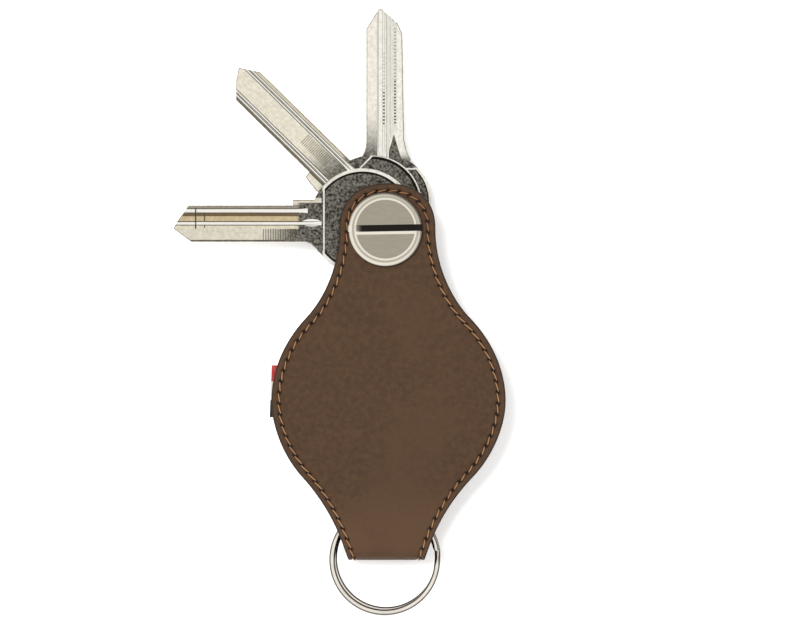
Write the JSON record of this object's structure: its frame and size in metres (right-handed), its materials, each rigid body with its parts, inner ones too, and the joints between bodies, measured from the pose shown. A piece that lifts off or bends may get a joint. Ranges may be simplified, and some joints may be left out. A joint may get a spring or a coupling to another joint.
{
  "type": "key organiser",
  "caption": "Folded leather key organiser: keys swing out of a stitched wrap on one slotted binding post, with a split ring through the fold.",
  "frame": {"origin": "on the binding post's axis, at the outer face of its rear head, where the organiser rests when it lies on its back", "axes": "+Z out of the front face, +Y from the fold towards the post end, +X to the right seen from the front"},
  "size_m": [0.0749, 0.1381, 0.0149],
  "materials": {
    "leather": "waxed pull-up leather",
    "lining": "smooth lining leather",
    "thread": "waxed twisted thread",
    "tape": "woven tape in three plain bands",
    "nickel": "nickel plated, brushed face and polished rim",
    "washer": "plain steel",
    "key_metal": "nickel silver, milled blade and mottled bow",
    "ring_steel": "nickel plated spring steel"
  },
  "bodies": {
    "wrap": {"leather_wrap": "leather", "leather_lining": "lining", "front_stitching": "thread", "back_stitching": "thread", "side_tab": "tape", "binding_post": "nickel", "pivot_washer_1": "washer", "pivot_washer_2": "washer", "pivot_washer_3": "washer", "pivot_washer_4": "washer"},
    "screw": {"slotted_screw": "nickel"},
    "left_key": {"key_left": "key_metal"},
    "diagonal_key": {"key_diagonal": "key_metal"},
    "up_key": {"key_up": "key_metal"},
    "ring": {"split_ring": "ring_steel"}
  },
  "joints": [
    {"name": "left_key_swing", "type": "hinge", "parent": "wrap", "child": "left_key", "pos_m": [0, 0, 0.00985], "axis": [0, 0, 1], "continuous": true},
    {"name": "diagonal_key_swing", "type": "hinge", "parent": "wrap", "child": "diagonal_key", "pos_m": [0, 0, 0.00735], "axis": [0, 0, 1], "continuous": true},
    {"name": "up_key_swing", "type": "hinge", "parent": "wrap", "child": "up_key", "pos_m": [0, 0, 0.00485], "axis": [0, 0, 1], "continuous": true},
    {"name": "screw_turn", "type": "hinge", "parent": "wrap", "child": "screw", "pos_m": [0, 0, 0.0135], "axis": [0, 0, 1], "continuous": true},
    {"name": "ring_slide", "type": "slide", "parent": "wrap", "child": "ring", "axis": [0, 1, 0], "range_m": [-0.003, 0.0055]}
  ]
}
